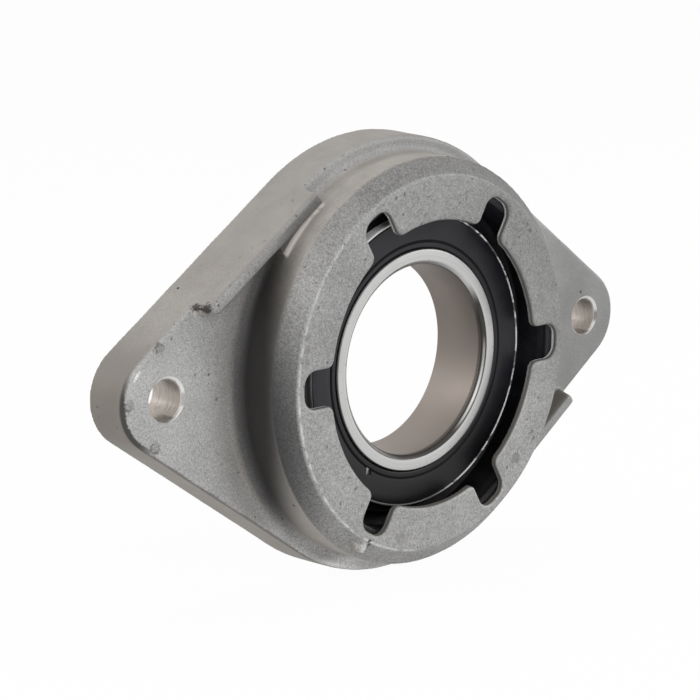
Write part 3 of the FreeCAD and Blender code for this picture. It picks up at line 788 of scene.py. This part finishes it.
class BearingColours(bpy.types.PropertyGroup):
    casting_face: FloatVectorProperty(
        name="Casting face", description="Grey of the faces towards the lip side", subtype="COLOR",
        default=(0.336, 0.334, 0.330),
    )
    casting_side: FloatVectorProperty(
        name="Casting side", description="Warmer grey of the casting's sides", subtype="COLOR",
        default=(0.348, 0.327, 0.303),
    )
    # Bright nicks and worn edges, also used for painted highlights
    casting_nick_and_highlight: FloatVectorProperty(
        name="Bare metal", description="Nicks and edges that are rubbed bright", subtype="COLOR",
        default=(0.86, 0.86, 0.85),
    )
    # Dark pits, pin marks and darkened edges, also used for painted shade
    casting_pit_and_shade: FloatVectorProperty(
        name="Pits", description="Dirt in pits and corners", subtype="COLOR", default=(0.045, 0.042, 0.04)
    )
    # Painted shade of the notch walls and of the ribs
    casting_wall_shade: FloatVectorProperty(
        name="Lip walls", description="Brownish walls of the lip's notches", subtype="COLOR",
        default=(0.088, 0.083, 0.076),
    )
    # Painted shade in the corner round the body
    casting_corner_shade: FloatVectorProperty(
        name="Mould film", description="Charcoal film in the corner round the body", subtype="COLOR",
        default=(0.014, 0.0135, 0.0145),
    )
    # Brown of the side stains, and of the painted shade beside the body
    casting_stain_and_shade: FloatVectorProperty(
        name="Side stains", description="Brown stains of the casting's sides", subtype="COLOR",
        default=(0.185, 0.165, 0.145),
    )
    machined: FloatVectorProperty(
        name="Machined faces", description="Bolt holes, bore and mounting face", subtype="COLOR",
        default=(0.60, 0.55, 0.50),
    )
    ring_face: FloatVectorProperty(
        name="Ring face", description="Ground faces of the bearing's rings", subtype="COLOR",
        default=(0.585, 0.585, 0.58),
    )
    ring_bore: FloatVectorProperty(
        name="Ring bore", description="Ground bore of the inner ring", subtype="COLOR",
        default=(0.215, 0.186, 0.165),
    )
    ring_dark: FloatVectorProperty(
        name="Grinding marks", description="Darker grinding marks of the rings", subtype="COLOR",
        default=(0.24, 0.23, 0.22),
    )
    # Painted shade of the inner ring
    ring_shade: FloatVectorProperty(
        name="Ring smudges", description="Dull bore edge of the inner ring", subtype="COLOR",
        default=(0.06, 0.055, 0.05),
    )
    rubber: FloatVectorProperty(
        name="Rubber", description="Black of the seals and the damper", subtype="COLOR",
        default=(0.0102, 0.0096, 0.0130),
    )
    rubber_bloom: FloatVectorProperty(
        name="Rubber bloom", description="Greyer patches of the rubber", subtype="COLOR",
        default=(0.020, 0.0195, 0.024),
    )


class StageSettings(bpy.types.PropertyGroup):
    lens: FloatProperty(
        name="Lens", description="Focal length of the camera in millimetres", default=112.364, min=1.0
    )
    key_power: FloatProperty(
        name="Key light", description="Power of the lamp at the right, in watts", default=4.0, min=0.0
    )
    rim_power: FloatProperty(
        name="Rim light", description="Power of the lamp at the left and behind, in watts",
        default=3.0, min=0.0,
    )
    fill_power: FloatProperty(
        name="Fill light", description="Power of the lamp at the left front, in watts", default=4.0, min=0.0
    )
    top_power: FloatProperty(
        name="Top light", description="Power of the lamp above, in watts", default=2.0, min=0.0
    )
    ambient: FloatProperty(
        name="Ambient", description="Strength of the light from all round", default=0.45, min=0.0
    )


# Pieces


class BEARING_OT_housing(bpy.types.Operator):
    """Make the cast housing with its soft edges, rounded ribs, torn stub, drilled holes and casting marks"""

    bl_idname = "bearing.housing"
    bl_label = "Housing"

    def execute(self, context):
        sizes = context.scene.casting_sizes
        casting = cad_copy("housing", "casting")
        plugs = [self.hole_plug(side * EAR_PLACE) for side in (-1, 1)]
        casting = join([casting, *plugs, self.gate_stub()])
        apply_modifier(casting, "REMESH", mode="VOXEL", voxel_size=sizes.voxel, adaptivity=0.0)
        apply_modifier(casting, "SMOOTH", factor=0.5, iterations=3)
        self.round_ribs(casting)
        waves = bpy.data.textures.new("casting_waves", "CLOUDS")
        waves.noise_scale = 6.0 * MM
        apply_modifier(casting, "DISPLACE", texture=waves, strength=sizes.waviness, mid_level=0.8)
        triangles = 2 * len(casting.data.polygons)
        apply_modifier(casting, "DECIMATE", ratio=min(1.0, sizes.triangles / triangles))
        for side in (-1, 1):
            self.drill(casting, side * EAR_PLACE)
        smooth(casting, 38.0)
        dress(casting, cast_aluminium(context.scene.bearing_colours, sizes))
        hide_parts("housing")
        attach(casting, BODY)
        return {"FINISHED"}

    def round_ribs(self, casting):
        """Rounds the ribs' edges more than the rest of the skin."""
        ribs = casting.vertex_groups.new(name="ribs")
        chosen = []
        for vertex in casting.data.vertices:
            x, y, z = vertex.co / MM
            outward = abs(x) * EDGE_SINE + abs(z) * EDGE_COSINE
            off_body = outward > RIB_LINE - 0.3 and math.hypot(x, z) > BODY_RADIUS + 1.4
            if y < RIB_ROOT and x * z < 0 and off_body:
                chosen.append(vertex.index)
        ribs.add(chosen, 1.0, "REPLACE")
        apply_modifier(casting, "SMOOTH", factor=0.5, iterations=32, vertex_group="ribs")

    def hole_plug(self, x):
        """Fills a bolt hole while the skin is made."""
        start_clean()
        depth = FLANGE_BACK - FLANGE_FRONT - 0.05
        bpy.ops.mesh.primitive_cylinder_add(
            vertices=48,
            radius=(HOLE_RADIUS + 1.5) * MM,
            depth=depth * MM,
            location=(x * MM, (FLANGE_FRONT + FLANGE_BACK) / 2 * MM, 0),
            rotation=(-math.pi / 2, 0, 0),
        )
        bpy.ops.object.transform_apply(location=True, rotation=True, scale=True)
        return bpy.context.object

    def drill(self, casting, x):
        """Drills a bolt hole and sinks its two edges."""
        start_clean()
        bpy.ops.mesh.primitive_cylinder_add(
            vertices=96,
            radius=HOLE_RADIUS * MM,
            depth=30 * MM,
            location=(x * MM, 5 * MM, 0),
            rotation=(-math.pi / 2, 0, 0),
        )
        cut_away(casting, bpy.context.object)
        edges = ((FLANGE_FRONT, -1, HOLE_CHAMFER, 0.3), (FLANGE_BACK, 1, BACK_CHAMFER, 0.0))
        for face, way, chamfer, shift in edges:
            start_clean()
            sink = chamfer + 1.0
            bpy.ops.mesh.primitive_cone_add(
                vertices=96,
                radius1=(HOLE_RADIUS + sink) * MM,
                radius2=HOLE_RADIUS * MM,
                depth=sink * MM,
                location=((x + shift) * MM, (face - way * (chamfer - sink / 2)) * MM, shift * MM),
                rotation=(way * math.pi / 2, 0, 0),
            )
            cut_away(casting, bpy.context.object)

    def gate_stub(self):
        """The small torn stub on the lip's outer edge."""
        stub = small_block(STUB_SIZE, STUB_PLACE, STUB_TURN, (1.0, 0.85, 0.8))
        apply_modifier(stub, "BEVEL", width=0.35 * MM, segments=2)
        return stub


class BEARING_OT_rings(bpy.types.Operator):
    """Make the ground rings of the ball bearing"""

    bl_idname = "bearing.rings"
    bl_label = "Bearing rings"

    def execute(self, context):
        colours = context.scene.bearing_colours
        inner = cad_copy("inner_ring", "inner_race")
        soften(inner, 0.2, 3)
        dress(inner, bore_steel(colours))
        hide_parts("inner_ring")
        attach(inner, "inner_ring")
        outer = cad_copy("outer_ring", "outer_race")
        soften(outer, 0.08, 2)
        # The outer ring is painted near white and not metallic, as painted light on its side in the notches.
        steel = ground_steel("outer_ring_steel", (0.95, 0.95, 0.94), colours.ring_face, 0.4, 0.0, 0.9)
        dress(outer, steel)
        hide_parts("outer_ring")
        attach(outer, BODY)
        return {"FINISHED"}


class BEARING_OT_seals(bpy.types.Operator):
    """Make the two rubber seals of the ball bearing, with a nick in the front one's step"""

    bl_idname = "bearing.seals"
    bl_label = "Seals"

    def execute(self, context):
        colours = context.scene.bearing_colours
        material = moulded_rubber("seal_rubber", colours.rubber, colours.rubber_bloom, 0.42, 0.00003)
        for node, name in (("front_seal", "front_cover"), ("rear_seal", "rear_cover")):
            seal = cad_copy(node, name)
            if node == "front_seal":
                cut_away(seal, small_block(NICK_SIZE, NICK_PLACE, NICK_TURN))
            soften(seal, 0.12, 2)
            dress(seal, material)
            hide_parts(node)
            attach(seal, BODY)
        return {"FINISHED"}


class BEARING_OT_damper(bpy.types.Operator):
    """Make the moulded rubber damper"""

    bl_idname = "bearing.damper"
    bl_label = "Damper"

    def execute(self, context):
        colours = context.scene.bearing_colours
        damper = cad_copy("damper", "rubber_damper")
        soften(damper, 0.3, 3)
        material = moulded_rubber("damper_rubber", colours.rubber, colours.rubber_bloom, 0.5, 0.00008)
        dress(damper, material)
        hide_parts("damper")
        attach(damper, BODY)
        return {"FINISHED"}


class BEARING_OT_inner_parts(bpy.types.Operator):
    """Dress the sleeves, the snap ring, the seal inserts, the cage and the balls"""

    bl_idname = "bearing.inner_parts"
    bl_label = "Inner parts"

    def execute(self, context):
        coated = pressed_steel("bonded_steel", (0.03, 0.03, 0.032), 0.5)
        for node in ("seat_sleeve", "outer_sleeve"):
            dress_node(node, coated)
        dress_node("retaining_ring", pressed_steel("spring_steel", (0.055, 0.055, 0.06), 0.38))
        sheet = pressed_steel("insert_steel", (0.42, 0.41, 0.40), 0.35)
        for node in ("front_seal_insert", "rear_seal_insert"):
            dress_node(node, sheet)
        cage = pressed_steel("cage_steel", (0.50, 0.49, 0.47), 0.3)
        for node in ("cage_front", "cage_rear", "cage_rivets"):
            dress_node(node, cage)
        ball = ground_steel("ball_steel", (0.82, 0.82, 0.82), (0.6, 0.6, 0.6), 0.08)
        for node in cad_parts:
            if node.startswith("ball_"):
                dress_node(node, ball)
        return {"FINISHED"}


class BEARING_OT_stage(bpy.types.Operator):
    """Make the white floor, the soft lights and the camera"""

    bl_idname = "bearing.stage"
    bl_label = "Stage"

    def execute(self, context):
        settings = context.scene.stage_settings
        self.floor()
        self.world(context, settings)
        self.lamp("key", (0.95, -0.5, 0.4), 0.5, settings.key_power)
        self.lamp("fill", (-0.45, -0.9, 0.45), 0.6, settings.fill_power)
        self.lamp("rim", (-0.9, 0.6, 0.5), 0.6, settings.rim_power)
        self.lamp("top", (0.1, 0.1, 1.2), 0.8, settings.top_power)
        self.camera(context, settings)
        context.scene.view_settings.view_transform = "Standard"
        return {"FINISHED"}

    def floor(self):
        """A white floor under the part, which the camera sees pure white."""
        start_clean()
        low = min(corner[2] for corner in cad_box)
        bpy.ops.mesh.primitive_plane_add(size=6.0, location=(0, 0, low))
        floor = bpy.context.object
        floor.name = "floor"
        bpy.ops.object.transform_apply(location=True, rotation=True, scale=True)
        finish = Finish("floor_white", Base_Color=(0.9, 0.9, 0.9, 1.0), Roughness=0.9)
        seen = finish.node("LightPath", outlet="Is Camera Ray")
        for kind in ("Is Glossy Ray", "Is Transmission Ray"):
            seen = seen.highest(finish.node("LightPath", outlet=kind))
        glow = finish.node("Emission", None, {"Color": (1, 1, 1, 1), "Strength": 1.0})
        surface = Signal(finish, finish.shader.outputs[0])
        mixed = finish.node("MixShader", None, {0: seen * 0.965, 1: surface, 2: glow})
        output = finish.tree.nodes["Material Output"]
        finish.tree.links.new(mixed.socket, output.inputs["Surface"])
        dress(floor, finish.material)

    def world(self, context, settings):
        """Soft light from all round, with a plain white room for what is seen or reflected."""
        world = bpy.data.worlds.new("studio")
        context.scene.world = world
        world.use_nodes = True
        nodes = world.node_tree.nodes
        links = world.node_tree.links
        light = nodes["Background"]
        light.inputs["Color"].default_value = (1.0, 1.0, 1.0, 1.0)
        light.inputs["Strength"].default_value = settings.ambient
        white = nodes.new("ShaderNodeBackground")
        white.inputs["Color"].default_value = (1.0, 1.0, 1.0, 1.0)
        rays = nodes.new("ShaderNodeLightPath")
        seen = rays.outputs["Is Camera Ray"]
        for kind in ("Is Glossy Ray", "Is Transmission Ray"):
            either = nodes.new("ShaderNodeMath")
            either.operation = "MAXIMUM"
            links.new(seen, either.inputs[0])
            links.new(rays.outputs[kind], either.inputs[1])
            seen = either.outputs[0]
        mix = nodes.new("ShaderNodeMixShader")
        links.new(seen, mix.inputs[0])
        links.new(light.outputs[0], mix.inputs[1])
        links.new(white.outputs[0], mix.inputs[2])
        links.new(mix.outputs[0], nodes["World Output"].inputs["Surface"])

    def lamp(self, name, place, size, power):
        """A round lamp that faces the middle of the part."""
        start_clean()
        bpy.ops.object.light_add(type="AREA", location=place)
        lamp = bpy.context.object
        lamp.name = name
        lamp.data.shape = "DISK"
        lamp.data.size = size
        lamp.data.energy = power
        lamp.rotation_euler = (-Vector(place)).to_track_quat("-Z", "Y").to_euler()

    def camera(self, context, settings):
        """The camera at the photo's viewing angle."""
        start_clean()
        bpy.ops.object.camera_add()
        camera = bpy.context.object
        right = Vector(CAMERA_RIGHT)
        up = Vector(CAMERA_UP)
        back = right.cross(up).normalized()
        right = up.cross(back).normalized()
        up = back.cross(right)
        turn = Matrix((right, up, back)).transposed().to_4x4()
        camera.matrix_world = Matrix.Translation(CAMERA_PLACE) @ turn
        camera.data.sensor_width = 36.0
        camera.data.lens = settings.lens
        camera.data.clip_start = 0.01
        context.scene.camera = camera


class BEARING_PT_panel(bpy.types.Panel):
    """Lists the sizes, colours and steps of the bearing"""

    bl_idname = "BEARING_PT_panel"
    bl_label = "Centre bearing"
    bl_space_type = "VIEW_3D"
    bl_region_type = "UI"
    bl_category = "Bearing"

    def draw(self, context):
        layout = self.layout
        scene = context.scene
        for group in (scene.casting_sizes, scene.bearing_colours, scene.stage_settings):
            box = layout.box()
            for name in group.__annotations__:
                box.prop(group, name)
        for step in STEPS:
            layout.operator(step.bl_idname)


STEPS = (
    BEARING_OT_housing,
    BEARING_OT_rings,
    BEARING_OT_seals,
    BEARING_OT_damper,
    BEARING_OT_inner_parts,
    BEARING_OT_stage,
)
CLASSES = (CastingSizes, BearingColours, StageSettings, *STEPS, BEARING_PT_panel)


def register():
    """Registers the classes and puts their settings on the scene."""
    for cls in CLASSES:
        bpy.utils.register_class(cls)
    bpy.types.Scene.casting_sizes = PointerProperty(type=CastingSizes)
    bpy.types.Scene.bearing_colours = PointerProperty(type=BearingColours)
    bpy.types.Scene.stage_settings = PointerProperty(type=StageSettings)


def unregister():
    """Takes the settings and the classes away again."""
    del bpy.types.Scene.stage_settings
    del bpy.types.Scene.bearing_colours
    del bpy.types.Scene.casting_sizes
    for cls in reversed(CLASSES):
        bpy.utils.unregister_class(cls)


def main():
    """Makes the pieces and the stage."""
    register()
    bpy.ops.bearing.housing()
    bpy.ops.bearing.rings()
    bpy.ops.bearing.seals()
    bpy.ops.bearing.damper()
    bpy.ops.bearing.inner_parts()
    bpy.ops.bearing.stage()


if __name__ == "__main__":
    main()
